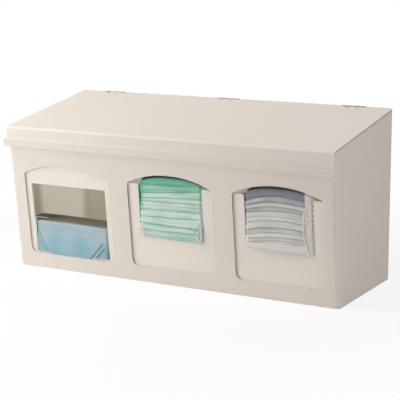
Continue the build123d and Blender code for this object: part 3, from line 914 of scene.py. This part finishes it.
@dataclass(frozen=True)
class FrontMask:
    """The mask at the front of a pile: pleats drawn open, and its lower left corner turned up.

    The table of folds has a row for each line where a band laps the next: x and height of its left,
    middle and right point, the lap, and how far it stands proud, all in millimetres.
    """

    name: str
    folds: tuple[tuple[float, ...], ...]
    top_line: tuple[Pair, ...]
    bottom_line: tuple[Pair, ...]
    corner: Pair
    depth: Pair
    tint: tuple[float, ...]
    turn: tuple[Pair, Pair]
    seed: int
    strip: float = 0.0
    end_tint: float = 0.0
    left: float = -71.0 * MM
    right: float = 70.3 * MM
    hidden: float = 15 * MM
    stitch: float = 9.0 * MM
    stitched: Pair = (0.125, 0.192)
    least_band: float = 2.2 * MM
    full_fold: float = 2.0 * MM
    edge_laps: Pair = (0.6 * MM, 0.5 * MM)
    edge_proud: Pair = (0.4 * MM, 0.9 * MM)
    # widths of the painted shadow under the arch, at left and at right
    shade_width: Pair = (4.6 * MM, 2.4 * MM)
    turn_width: float = 2.2 * MM
    turn_soft: float = 3 * MM
    turn_back: float = 1.6 * MM
    turn_ridge: float = 1.1 * MM
    end_width: float = 14 * MM
    end_fades: Pair = (0.14, 0.16)
    # how far each edge curls back, and over what width
    curl_top: Pair = (3.0 * MM, 6 * MM)
    curl_left: Pair = (4.2 * MM, 7 * MM)
    curl_right: Pair = (4.0 * MM, 5 * MM)
    # height in millimetres, stretch across, seed and wavelength of each unevenness
    waves: tuple[tuple[float, float, int, float], ...] = (
        (0.75, 0.35, 0, 0.022),
        (0.5, 1.0, 3, 0.05),
        (0.32, 0.16, 5, 0.0085),
    )
    strip_sink: float = 0.7 * MM
    thickness: float = 0.5 * MM

    def lines(self, x: np.ndarray) -> np.ndarray:
        """Heights of the top edge, each fold and the bottom edge.

        Args:
            x: Where to read them.

        Returns:
            One line a row, none nearer to the one above than the least band.
        """
        fall, reach = self.corner
        gone = np.clip((self.left + reach - x) / reach, 0, 1)
        rows = [through(self.top_line, x) - fall * (1 - np.sqrt(1 - np.minimum(gone, 0.999) ** 2))]
        for fold in self.folds:
            line = through(np.reshape(fold[:6], (3, 2)), x)
            rows.append(np.minimum(line, rows[-1] - self.least_band))
        rows.append(np.minimum(through(self.bottom_line, x), rows[-1] - self.least_band))
        return np.array(rows)

    def bands(self, lines: np.ndarray) -> tuple[np.ndarray, np.ndarray, np.ndarray, np.ndarray]:
        """Run the cloth down every band.

        It starts under the fold above, swells forward and turns under at its own fold, so that every
        band laps the next.

        Args:
            lines: Heights of the edges and folds, one line a row.

        Returns:
            Height, depth, tint and painted shade of every point, rows by columns.
        """
        lap = [self.edge_laps[0], *(fold[6] * MM for fold in self.folds), self.edge_laps[1]]
        proud = [self.edge_proud[0], *(fold[7] * MM for fold in self.folds), self.edge_proud[1]]
        f = np.linspace(0, 1, 11)[:, None]
        blocks = []
        for band, (upper, lower) in enumerate(zip(lines[:-1], lines[1:])):
            start = upper + (lap[band] * 0.9 if band else 0.0)
            swell = proud[band + 1] * (np.sin(np.pi * np.minimum(f * 0.62, 0.5)) ** 1.3)
            rise = proud[band] * (1 - smooth(f, 0.0, 0.45)) * 0.6
            tuck = -0.55 * proud[band + 1] * smooth(f, 0.86, 1.0)
            # Painted shade where a band turns under at its fold and where it starts under the fold above.
            under = smooth(f, 0.84, 1.0) * min(proud[band + 1] / self.full_fold, 1.0)
            hidden = (1 - smooth(f, 0.0, 0.12)) * min(proud[band] / self.full_fold, 1.0)
            block = (start + (lower - start) * f, rise - swell - tuck, self.tint[band], under + hidden)
            blocks.append(np.broadcast_arrays(*block))
        return tuple(np.vstack(rows) for rows in zip(*blocks))

    def cavities(self, x: np.ndarray, z: np.ndarray, top: np.ndarray, shade: np.ndarray) -> np.ndarray:
        """The painted shade of the cloth in its folds and in the shadow of the arch.

        Args:
            x: Place across of every point.
            z: Height of every point.
            top: Height of the top edge over every column.
            shade: Shade of the folds.

        Returns:
            The shade of every point.
        """
        arch = ARCH_TOP - ARCH_RADIUS + np.sqrt(ARCH_RADIUS**2 - x[0] ** 2)
        below = np.minimum(arch - self.least_band, top) - z
        wide, less = self.shade_width[0], self.shade_width[0] - self.shade_width[1]
        wide = wide - less * smooth(x[0], -20 * MM, 60 * MM)
        # Painted shadow under the arch: a dark line along its edge and a fainter band below.
        under_arch = 1.5 * (1 - smooth(below / wide, 0.4, 1.0))
        under_arch = under_arch + 0.3 * (1 - smooth(below, 0.0, 11 * MM))
        uneven = 0.75 + 0.5 * ripple(x, z * 0.3, self.seed + 8, 0.03)
        return np.clip(under_arch + shade * uneven, 0, 1.7)

    def strip_marks(self, x: np.ndarray, z: np.ndarray) -> tuple[np.ndarray, np.ndarray]:
        """Where the pleats show, and the stitches along the flat strip at the right end.

        Args:
            x: Place across of every point.
            z: Height of every point.

        Returns:
            Share of the pleats, 0 on the strip, and the shade of the stitches.
        """
        if not self.strip:
            return np.ones_like(z), np.zeros_like(z)
        begins, width = self.right - self.strip, 0.9 * MM
        pleated = 1 - smooth(x, begins, begins + 1.5 * MM)
        seam = np.exp(-(((x - begins + 0.5 * MM) / width) ** 2))
        seam = seam + np.exp(-(((x - self.right + 2.5 * MM) / width) ** 2))
        stitches = 1.2 * seam * smooth(np.sin(z * 2 * np.pi / self.stitch), 0.4, 0.7)
        low, high = self.stitched
        return pleated, stitches * smooth(z, low, low + 5 * MM) * (1 - smooth(z, high, high + 6 * MM))

    def beyond_turn(self, x: np.ndarray, z: np.ndarray) -> np.ndarray:
        """Distance below and left of the turned edge.

        Args:
            x: Place across of every point.
            z: Height of every point.

        Returns:
            The distance, negative above and right of the edge.
        """
        start, end = np.array(self.turn) * MM
        run = (end - start) / np.linalg.norm(end - start)
        return (x - start[0]) * run[1] - (z - start[1]) * run[0]

    def turned(self, x: np.ndarray, z: np.ndarray, depth: np.ndarray) -> np.ndarray:
        """Roll a ridge along the turned edge and lay the cloth behind it back.

        Args:
            x: Place across of every point.
            z: Height of every point.
            depth: Depth without the turn.

        Returns:
            Depth with the turn.
        """
        soft, width = self.turn_soft, self.turn_width / MM
        ridge = creases(x, z, ((1.0, *self.turn[0], *self.turn[1], width),))
        behind = smooth(self.beyond_turn(x, z), 0.0, soft) * smooth(x, self.left, self.left + soft)
        flat = self.depth[0] + self.turn_back
        return depth * (1 - behind) + flat * behind - self.turn_ridge * ridge

    def make(self, centre: float, material: bpy.types.Material) -> bpy.types.Object:
        """Build the mask's front as one pleated sheet that curls back at its ends and its top.

        Args:
            centre: X of the bin's centre.
            material: The cloth.

        Returns:
            The sheet.
        """
        behind_post = np.linspace(self.left - self.hidden, self.left, 10)[:-1]
        across = np.concatenate([behind_post, np.linspace(self.left, self.right, 112)])
        lines = self.lines(np.maximum(across, self.left))
        z, pleats, tint, shade = self.bands(lines)
        x = np.broadcast_to(across, z.shape)
        end = smooth(self.left + self.end_width - x, 0.0, self.end_width) * smooth(z, *self.end_fades)
        tint = tint + self.end_tint * end + 0.1 * ripple(x * 0.5, z, self.seed + 7, 0.03)
        painted_shade_and_marks = self.cavities(x, z, lines[0], shade)
        rise = smooth(z, float(lines[-1].min()), float(lines[0].max()))
        base = self.depth[0] + (self.depth[1] - self.depth[0]) * rise
        curl, width = self.curl_top
        base = base + curl * smooth(z, lines[0] - width, lines[0] + 1 * MM)
        curl, width = self.curl_left
        base = base + curl * smooth(self.left + width - x, 0.0, width)
        curl, width = self.curl_right
        base = base + curl * smooth(x - self.right + width, 0.0, width)
        pleated, stitches = self.strip_marks(x, z)
        waves = np.zeros_like(z)
        for height, stretch, seed, length in self.waves:
            waves = waves + height * MM * ripple(x * stretch, z, self.seed + seed, length)
        depth = base + pleats * pleated + waves * (0.35 + 0.65 * pleated)
        depth = depth - self.strip_sink * (1 - pleated)
        depth = self.turned(x, z, depth)
        lining = smooth(self.beyond_turn(x, z), -0.6 * MM, 0.6 * MM) + (1 - pleated)
        surface = np.stack([centre + x, front_y(z, depth), z], axis=-1)
        shape = Shape()
        shape.take_sheet(surface, x, self.thickness, tint, lining, painted_shade_and_marks * pleated + stitches)
        return shape.make(self.name, material)


@dataclass(frozen=True)
class Drape:
    """The top item of the left pile: over its top, down its front and over the window's sill.

    Each row of folds and of hollows is a ridge for creases(); the folds' heights are millimetres of
    depth, and the hollows' are shade.
    """

    name: str = "blue_top_item"
    half: float = 88.0 * MM
    top: float = 101 * MM
    top_line: tuple[Pair, ...] = ((-81.7, 101.2), (8.8, 101.0), (86.6, 99.0))
    back: float = 62 * MM
    sill: float = 35.6 * MM
    hang: float = 6.0 * MM
    depth: Pair = (1.4 * MM, 5.6 * MM)
    bend: float = 3.0 * MM
    inset: float = 6.0 * MM
    overhang: float = 26.0 * MM
    thickness: float = 0.6 * MM
    seed: int = 21
    folds: tuple[tuple[float, ...], ...] = (
        (1.3, -84, 84, -61, 37, 5),
        (-1.2, -74, 84, -50, 40, 7),
        (2.2, 46, 33, 76, 65, 1.8),
        (-1.0, 53, 34, 78, 61, 2.6),
        (2.4, 60, 35, 80, 57, 1.6),
        (0.8, -38, 78, -8, 88, 3),
        (0.7, -8, 88, 60, 80, 4),
        (-1.0, -20, 50, 30, 60, 16),
    )
    hollows: tuple[tuple[float, ...], ...] = (
        (1.1, 46, 33, 76, 65, 1.3),
        (0.9, 60, 35, 80, 57, 1.1),
        (0.25, -84, 84, -61, 37, 4),
    )

    def make(self, centre: float, material: bpy.types.Material) -> bpy.types.Object:
        """Build the item as one sheet.

        Its side view runs forward over the top, round a bend of a few millimetres, and down the
        front; the middle hangs over the sill, and creases cross the lower corners.

        Args:
            centre: X of the bin's centre.
            material: The cloth.

        Returns:
            The sheet.
        """
        x = np.linspace(-self.half, self.half, 150)[None, :]
        over = np.linspace(self.back, self.inset, 26)[:, None]
        turn = np.linspace(0, np.pi / 2, 8)[1:-1, None]
        face = np.linspace(0, 1, 70)[:, None]
        crest = through(self.top_line, x)
        z_face = (crest - self.bend) * (1 - face) + self.lower_edge(x) * face
        slope = smooth(z_face, self.sill, self.top)
        near, far = self.depth
        runs = (
            (crest, far + over),
            (crest - self.bend * (1 - np.cos(turn)), far + self.inset * (1 - np.sin(turn))),
            (z_face, near + (far - near) * slope),
        )
        z, d = (np.vstack(rows) for rows in zip(*(np.broadcast_arrays(*run, x)[:2] for run in runs)))
        xx = np.broadcast_to(x, z.shape)
        row = np.arange(len(z))[:, None]
        front = smooth(row, 24, 34)
        relief = MM * creases(xx, z, self.folds) + 0.7 * MM * ripple(xx, z, self.seed, 0.055)
        d = d + front * (relief + 0.3 * MM * ripple(xx, z, self.seed + 1, 0.02))
        d = d + 2.6 * MM * front * smooth(np.abs(xx), self.half - 6 * MM, self.half)
        z = z + (1 - front) * 0.35 * MM * ripple(xx, d, self.seed + 5, 0.07)
        reach = smooth(d, 9 * MM, 16 * MM) * (1 - front)
        wide = np.where(xx < 0, xx * (1 + self.overhang / self.half * reach), xx)
        # over the top the depth is level, so it is not leant back with the front
        level = 1 - smooth(row, 24, 32)
        y = level * front_y(crest, d) + (1 - level) * front_y(z, d)
        tint = 0.25 + 0.5 * smooth(-z, -0.09, -0.04) + 0.25 * ripple(xx, z, self.seed, 0.06)
        lining = (1 - smooth(row, 24, 30)) * np.ones_like(xx)
        # Painted shade in the hollows and along the right end.
        painted_shade_and_marks = creases(xx, z, self.hollows) + 0.8 * smooth(xx, self.half - 4 * MM, self.half)
        shape = Shape()
        shape.take_sheet(np.stack([centre + wide, y, z], axis=-1), xx, self.thickness, tint, lining, painted_shade_and_marks)
        return shape.make(self.name, material)

    def lower_edge(self, x: np.ndarray) -> np.ndarray:
        """Height of the lower edge: level on the sill, and hanging between two shoulders."""
        hang = smooth(x, -56 * MM, -46 * MM) * (1 - smooth(x, 42 * MM, 50 * MM))
        return self.sill - self.hang * hang + 0.5 * MM * ripple(x, 0 * x, self.seed + 2, 0.03)


@dataclass(frozen=True)
class EarLoop:
    """A flat elastic loop, swept along a smooth path.

    The route's points are x from the bin's centre, height, and depth behind the front, in
    millimetres.
    """

    route: tuple[Triple, ...]
    width: float = 1.9 * MM
    thickness: float = 0.9 * MM
    count: int = 90
    sides: int = 12

    def add_to(self, shape: Shape, centre: float) -> None:
        """Sweep an oval along the route, its long side across the route in the front's plane.

        Args:
            shape: Where to add the loop.
            centre: X of the bin's centre.
        """
        x, z, depth = (path(np.array(self.route) * MM, self.count)).T
        line = np.column_stack([centre + x, front_y(z, depth), z])
        tangent = np.gradient(line, axis=0)
        tangent /= np.linalg.norm(tangent, axis=1, keepdims=True)
        side = np.cross(tangent, np.array([0.0, -math.cos(LEAN), -math.sin(LEAN)]))
        side /= np.maximum(np.linalg.norm(side, axis=1, keepdims=True), 1e-9)
        up = np.cross(side, tangent)
        angle = np.linspace(0, 2 * np.pi, self.sides, endpoint=False)
        ring = (
            line[:, None, :]
            + side[:, None, :] * np.cos(angle)[None, :, None] * self.width / 2
            + up[:, None, :] * np.sin(angle)[None, :, None] * self.thickness / 2
        )
        points, wall, ends = capped_loops(ring)
        down = lengths_along(line)
        chart = np.stack(np.broadcast_arrays(down[:, None], angle[None, :] * self.width / 6), axis=-1)
        chart = np.vstack([chart.reshape(-1, 2), [[0.0, 0.0]], [[down[-1], 0.0]]])
        shape.take(points, wall, chart, ends=ends)


# Sub-assemblies


def dress(names: list[str], material: bpy.types.Material) -> list[str]:
    """Give carried-over nodes their finish.

    Args:
        names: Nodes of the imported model.
        material: Their finish.

    Returns:
        The names again, for the log.
    """
    for name in names:
        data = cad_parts[name].data
        data.materials.clear()
        data.materials.append(material)
    return names


@dataclass(frozen=True)
class Cabinet:
    """The wrapped shell with its bottom, dividers, inserts and channels."""

    colour: Colour = display(226, 216, 206)
    # painted shade on the cabinet's cut edges
    edge: Colour = display(138, 125, 112)
    insert_colour: Colour = display(236, 226, 216)
    # painted highlight on the inserts' cut edges
    insert_edge_highlight: Colour = display(248, 245, 238)
    insert_depth: float = 3.4 * MM
    # height of a painted highlight line on the front, just below the lid's lip
    highlight_line: float = 253.0 * MM

    def build(self) -> list[str]:
        """Dress every sheet of the cabinet.

        Returns:
            The names of the dressed nodes.
        """
        # The cabinet's and the dividers' sheets carry a painted glow inside; the dividers' is strongest
        # near the front.
        sheet = SatinSheet(
            "cabinet_sheet",
            self.colour,
            self.edge,
            glow=0.42,
            level_edge=0.0,
            highlight_height=self.highlight_line,
            highlight_strength=(0.06, 0.2),
        ).make()
        web = SatinSheet("divider_sheet", self.colour, self.edge, glow=0.26, front_painted_glow=1.3).make()
        insert = SatinSheet(
            "insert_sheet", self.insert_colour, self.insert_edge_highlight, edge_depth=self.insert_depth
        ).make()
        channels = [f"channel_{bay}_{end}" for bay in ("left", "middle", "right") for end in "ab"]
        done = dress(["shell", "bottom_panel"], sheet)
        done += dress(["divider_left", "divider_right", *channels], web)
        return done + dress(["insert_left", "insert_middle", "insert_right"], insert)


@dataclass(frozen=True)
class LidAndHinges:
    """The lid, and the steel that hangs it."""

    lid_colour: Colour = display(226, 216, 206)
    steel: Colour = (0.3, 0.27, 0.24, 1.0)
    rivet: Colour = (0.58, 0.54, 0.48, 1.0)
    stain: Colour = (0.16, 0.11, 0.08, 1.0)
    # height of the lid's crease, along which runs a painted highlight that fades out to the right
    crease: float = 273.0 * MM

    def build(self) -> list[str]:
        """Dress the lid, the hinge leaves, the pins and the rivets.

        Returns:
            The names of the dressed nodes.
        """
        lid = SatinSheet(
            "lid_sheet",
            self.lid_colour,
            highlight_height=self.crease,
            highlight_strength=(0.12, 0.0),
            # painted shadow on the lid's ends just below its top
            seam_slope=math.tan(LID_SLOPE),
            seam_height=REAR_HEIGHT - WALL_Y * math.tan(LID_SLOPE),
        ).make()
        steel = DullSteel("hinge_steel", self.steel, self.stain).make()
        rivet = DullSteel("rivet_steel", self.rivet, self.stain, 0.45).make()
        numbers = (1, 2, 3)
        leaves = [f"hinge_leaf_{side}_{n}" for side in ("wall", "lid") for n in numbers]
        done = dress(["lid"], lid)
        done += dress(leaves + [f"hinge_pin_{n}" for n in numbers], steel)
        return done + dress(["lid_rivets", "wall_rivets"], rivet)


@dataclass(frozen=True)
class Bin:
    """What one bin holds: a pile, the item at its front and the elastic that shows of it.

    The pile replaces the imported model's stack, and the item at its front rests on the pile and on
    the bin's insert.
    """

    centre: float
    slot: Slot
    stack: str
    insert: str
    cloth: NonWoven
    pile: Layers
    front: FrontMask | Drape
    elastic: Elastic
    strands: str
    loops: tuple[EarLoop, ...]
    flat: Pair = MASK_FLAT
    held: str = "folded"

    def build(self) -> list[bpy.types.Object]:
        """Build the pile, the item before it and its elastic.

        Returns:
            The new pieces.
        """
        cloth = self.cloth.make()
        pile = self.pile.make(self.centre, cloth)
        front = self.front.make(self.centre, cloth)
        elastic = self.elastic.make()
        shape = Shape()
        for loop in self.loops:
            loop.add_to(shape, self.centre)
        strands = shape.make(self.strands, elastic)
        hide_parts(self.stack)
        for piece in (pile, front, strands):
            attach(piece, CABINET_BODY)
        return [pile, front, strands]


@dataclass(frozen=True)
class GreenBin(Bin):
    """The middle bin's masks."""

    centre: float = 12.75 * MM
    slot: Slot = Slot.GREEN
    stack: str = "green_stack"
    insert: str = "insert_middle"
    cloth: NonWoven = NonWoven(
        "green_cloth", display(216, 227, 218), display(101, 182, 154), display(222, 218, 206), 1.0
    )
    pile: Layers = Layers("green_masks", arch=3.8 * MM, sag=(56 * MM, 47 * MM), seed=11)
    front: FrontMask = FrontMask(
        "green_front_mask",
        folds=(
            (-70, 203, -20, 203, 63, 207.5, 1.4, 1.3),
            (-52.9, 185.5, -0.3, 190.4, 64.4, 196.3, 1.2, 1.3),
            (-72.3, 173.5, -1.2, 178.2, 65.5, 180.6, 0.8, 0.8),
            (-70.5, 167.6, -1.8, 170.1, 64.9, 171.6, 1.8, 1.7),
            (-71, 161.4, -2.4, 163, 64.5, 164.5, 0.7, 0.8),
            (-71.8, 152.1, -3, 154.8, 66, 155.3, 2.2, 2.1),
            (-72, 137, -20, 138, 66, 142, 0.6, 0.7),
            (-71.7, 125.4, -5.4, 123.1, 60, 121.8, 2.4, 2.3),
            (-59.1, 110.2, -6.3, 110.7, 60, 110.8, 1.6, 1.6),
        ),
        top_line=((-72, 217.6), (0, 221.0), (66, 215.0)),
        bottom_line=((-64.8, 97.2), (-7.4, 95.7), (66, 95.0)),
        corner=(22 * MM, 24 * MM),
        depth=(1.5 * MM, 5.6 * MM),
        # The first bands' deep tint is partly the cloth's deeper colour and partly painted shade under the
        # arch.
        tint=(0.82, 0.66, 0.42, 0.34, 0.26, 0.34, 0.3, 0.3, 0.4, 0.42),
        turn=((-73, 124), (-62, 96)),
        seed=31,
        end_tint=0.55,
    )
    elastic: Elastic = Elastic("white_elastic_middle", display(226, 232, 226))
    strands: str = "green_ear_loops"
    loops: tuple[EarLoop, ...] = tuple(
        EarLoop(route)
        for route in (
            (
                (69, 141, 3.2),
                (62, 135, 0.2),
                (54, 127, -1.0),
                (51, 116, -1.4),
                (56, 105, -1.5),
                (67, 96, -0.6),
            ),
            ((70, 128, 3.0), (64, 122, -0.6), (58, 112, -1.6), (62, 101, -1.8), (70, 97, -0.4)),
            (
                (70, 134, 3.2),
                (67, 126, -0.8),
                (68, 112, -1.6),
                (65, 100, -2.0),
                (56, 94.5, -1.6),
                (49, 99, -1.8),
            ),
            ((60, 131, -0.4), (57, 120, -1.3), (63, 112, -2.0), (69, 106, -1.0)),
        )
    )


@dataclass(frozen=True)
class WhiteBin(Bin):
    """The right bin's masks."""

    centre: float = 245.75 * MM
    slot: Slot = Slot.WHITE
    stack: str = "white_stack"
    insert: str = "insert_right"
    # The deep colour is a painted shade of the white cloth; the tints below mix it in.
    cloth: NonWoven = NonWoven(
        "white_cloth", display(224, 220, 215), display(137, 140, 146), display(226, 218, 208)
    )
    pile: Layers = Layers("white_masks", arch=7.4 * MM, sag=(24 * MM, 49 * MM), seed=12)
    front: FrontMask = FrontMask(
        "white_front_mask",
        folds=(
            (-70.3, 189.8, -7.3, 203.5, 63.1, 195, 0.9, 1.0),
            (-73, 179.2, -18.2, 191, 58.8, 186.4, 2.2, 2.2),
            (-72, 172.4, -8.2, 184.2, 50.5, 179.5, 1.0, 1.2),
            (-71.4, 166.3, -27.2, 173.6, 52.2, 171.1, 0.7, 0.8),
            (-72, 156.4, 0, 164.3, 51.8, 161.5, 0.7, 0.8),
            (-73.7, 146.4, -11.5, 156.8, 49.6, 153.5, 1.2, 1.3),
            (-73.5, 131.7, 12.6, 143.9, 52.1, 141.4, 2.2, 2.1),
            (-58.9, 126.4, -10.5, 133.6, 52.8, 133.7, 1.1, 1.2),
            (-55, 119.4, 11.8, 125.3, 52.4, 124, 1.2, 1.2),
            (-44.8, 113.6, 11.6, 119.0, 50.2, 117, 1.7, 1.6),
        ),
        top_line=((-72, 213.0), (0, 220.8), (66, 212.5)),
        bottom_line=((-54, 97.6), (-20, 96.2), (66, 98.0)),
        corner=(20 * MM, 18 * MM),
        depth=(1.2 * MM, 5.8 * MM),
        # The bands' tints are painted shade, deepest in the first band under the arch.
        tint=(1.0, 0.62, 0.3, 0.5, 0.3, 0.25, 0.3, 0.36, 0.25, 0.3, 0.15),
        turn=((-74, 122), (-43, 99)),
        seed=41,
        strip=17.5 * MM,
    )
    elastic: Elastic = Elastic("white_elastic_right", display(224, 224, 216))
    strands: str = "white_ear_loop"
    loops: tuple[EarLoop, ...] = (
        EarLoop(
            (
                (57, 188, 3.6),
                (53.5, 181, 0.4),
                (52.0, 168, -0.4),
                (51.5, 150, -0.6),
                (52.5, 132, -0.6),
                (56.0, 116, -0.8),
                (60.0, 104, -0.9),
                (62.0, 97.5, -0.8),
            ),
            width=2.6 * MM,
        ),
    )


@dataclass(frozen=True)
class BlueBin(Bin):
    """The left bin's folded items."""

    centre: float = -228.25 * MM
    slot: Slot = Slot.BLUE
    stack: str = "blue_stack"
    insert: str = "insert_left"
    # The lining colour is the item's pale inner side darkened by a painted shade; it shows over the top of
    # the pile and at the pile's ends.
    cloth: NonWoven = NonWoven(
        "blue_cloth", display(173, 186, 192), display(132, 176, 188), display(121, 117, 103), 0.3
    )
    pile: Layers = Layers(
        "blue_items",
        arch=0.4 * MM,
        sag=(0.0, 0.0),
        seed=13,
        length=186 * MM,
        depth=61 * MM,
        height=96 * MM,
        layer=9.0 * MM,
        tongue_half=87 * MM,
        tongue_depth=6.0 * MM,
        sill=36.5 * MM,
    )
    front: Drape = Drape()
    elastic: Elastic = Elastic("white_elastic_left", display(236, 236, 230))
    strands: str = "blue_elastic"
    loops: tuple[EarLoop, ...] = (
        EarLoop(
            (
                (-86.8, 37.0, 2.2),
                (-86.6, 52, 0.9),
                (-86.4, 78, 1.1),
                (-86.0, 101, 2.6),
                (-85.0, 107.6, 4.0),
                (-79.0, 107.4, 9.0),
                (-67.0, 104.6, 20.0),
            ),
            width=1.5 * MM,
            thickness=1.2 * MM,
        ),
    )
    flat: Pair = ITEM_FLAT
    held: str = "draped"


@dataclass(frozen=True)
class Lamp:
    """One soft rectangular lamp, aimed at a point."""

    name: str
    place: Triple
    aim: Triple
    size: Pair
    watts: float

    def build(self) -> None:
        """Add the lamp to the scene."""
        data = bpy.data.lights.new(self.name, "AREA")
        data.shape = "RECTANGLE"
        data.size, data.size_y = self.size
        data.energy = self.watts
        lamp = bpy.data.objects.new(self.name, data)
        lamp.location = self.place
        lamp.rotation_euler = (
            (Vector(self.aim) - Vector(self.place)).to_track_quat("-Z", "Y").to_euler()
        )
        bpy.context.scene.collection.objects.link(lamp)


@dataclass(frozen=True)
class Studio:
    """Camera, lamps, floor and background."""

    eye: Triple = (1.24898, -2.22394, 0.65746)
    azimuth: float = math.radians(29.33)
    elevation: float = math.radians(11.27)
    roll: float = math.radians(-0.27)
    lens: float = 114.79
    shadow_share: float = 0.18
    shadow_reach: Pair = (0.45, 1.1)
    paper_colour: Colour = (0.9, 0.9, 0.9, 1.0)
    floor_middle: float = -0.6 * MM
    floor_sheet: float = 1.0 * MM
    surroundings: Colour = (1.0, 0.985, 0.965, 1.0)
    surroundings_strength: float = 0.02
    aim: Triple = (0.0, 0.0, 0.2)

    def camera(self) -> None:
        """Place the camera by its azimuth, elevation and roll."""
        a, e, r = self.azimuth, self.elevation, self.roll
        back = Vector((math.sin(a) * math.cos(e), -math.cos(a) * math.cos(e), math.sin(e)))
        right = Vector((math.cos(a), math.sin(a), 0.0))
        up = back.cross(right)
        turned = right * math.cos(r) + up * math.sin(r)
        upright = up * math.cos(r) - right * math.sin(r)
        data = bpy.data.cameras.new("camera")
        data.sensor_fit = "HORIZONTAL"
        data.sensor_width = 36.0
        data.lens = self.lens
        data.clip_end = 50.0
        camera = bpy.data.objects.new("camera", data)
        matrix = Matrix((turned, upright, back)).transposed().to_4x4()
        matrix.translation = Vector(self.eye)
        camera.matrix_world = matrix
        bpy.context.scene.collection.objects.link(camera)
        bpy.context.scene.camera = camera

    def paper(self) -> bpy.types.Material:
        """White paper that reads as the background and keeps a light shadow.

        Returns:
            The material.
        """
        net = Net(bpy.data.materials.new("floor_paper"))
        place = net.place()
        colour = net.shade(self.paper_colour, 0.97 + 0.03 * net.noise(place, 30.0))
        diffuse = net.add("ShaderNodeBsdfDiffuse", None, {0: colour})
        glow = net.add("ShaderNodeEmission", None, {0: WHITE, 1: 1.0})
        rays = net.add("ShaderNodeLightPath", output="Is Camera Ray")
        glossy = net.add("ShaderNodeLightPath", output="Is Glossy Ray")
        away = net.add("ShaderNodeVectorMath", {"operation": "LENGTH"}, {0: place}, "Value")
        share = (rays + glossy) * (1 - self.shadow_share * (1 - away.ramp(*self.shadow_reach)))
        mixed = net.add("ShaderNodeMixShader", None, {0: share, 1: diffuse, 2: glow})
        net.add("ShaderNodeOutputMaterial", None, {"Surface": mixed})
        return net.owner

    def backdrop(self) -> None:
        """Lay a wide level floor under the base."""
        across = np.linspace(-16.0, 16.0, 33)[:, None]
        run = np.linspace(-8.0, 30.0, 39)[None, :]
        grid = np.stack(np.broadcast_arrays(across, run, self.floor_middle), axis=-1)
        points, faces = thicken(grid, self.floor_sheet)
        shape = Shape()
        shape.take(points, faces, points[:, :2])
        floor = shape.make("floor", self.paper())

    def light(self) -> None:
        """Set the lamps and the pale surroundings."""
        for name, place, size, watts in (
            ("left_near", (-1.1, -1.1, 0.7), (0.8, 0.8), 11.2),
            ("left_high", (-1.2, -0.6, 1.6), (0.9, 0.9), 22.3),
            ("front_low", (1.1, -2.3, 0.4), (0.9, 0.6), 3.0),
            ("right_high", (2.0, -0.5, 1.8), (1.0, 1.0), 25.0),
            ("rear_high", (0.0, 1.2, 1.8), (1.5, 1.0), 10.5),
        ):
            Lamp(name, place, self.aim, size, watts).build()
        world = bpy.data.worlds.new("surroundings")
        bpy.context.scene.world = world
        net = Net(world)
        rays = net.add("ShaderNodeLightPath", output="Is Camera Ray")
        dim = net.add("ShaderNodeBackground", None, {0: self.surroundings, 1: self.surroundings_strength})
        white = net.add("ShaderNodeBackground", None, {0: WHITE, 1: 1.0})
        mixed = net.add("ShaderNodeMixShader", None, {0: rays, 1: dim, 2: white})
        net.add("ShaderNodeOutputWorld", None, {"Surface": mixed})

    def build(self) -> None:
        """Make the whole studio and set the plain view."""
        self.camera()
        self.backdrop()
        self.light()
        bpy.context.scene.view_settings.view_transform = "Standard"


def main() -> None:
    """Build the dispenser's looks in order and log each piece."""
    logging.basicConfig(level=logging.INFO, format="%(name)s: %(message)s")
    Studio().build()
    for part in (Cabinet(), LidAndHinges()):
        for name in part.build():
            LOG.info("dressed %s", name)
    for bin_ in (BlueBin(), GreenBin(), WhiteBin()):
        for piece in bin_.build():
            LOG.info("built %s, %d faces", piece.name, len(piece.data.polygons))


if __name__ == "__main__":
    main()
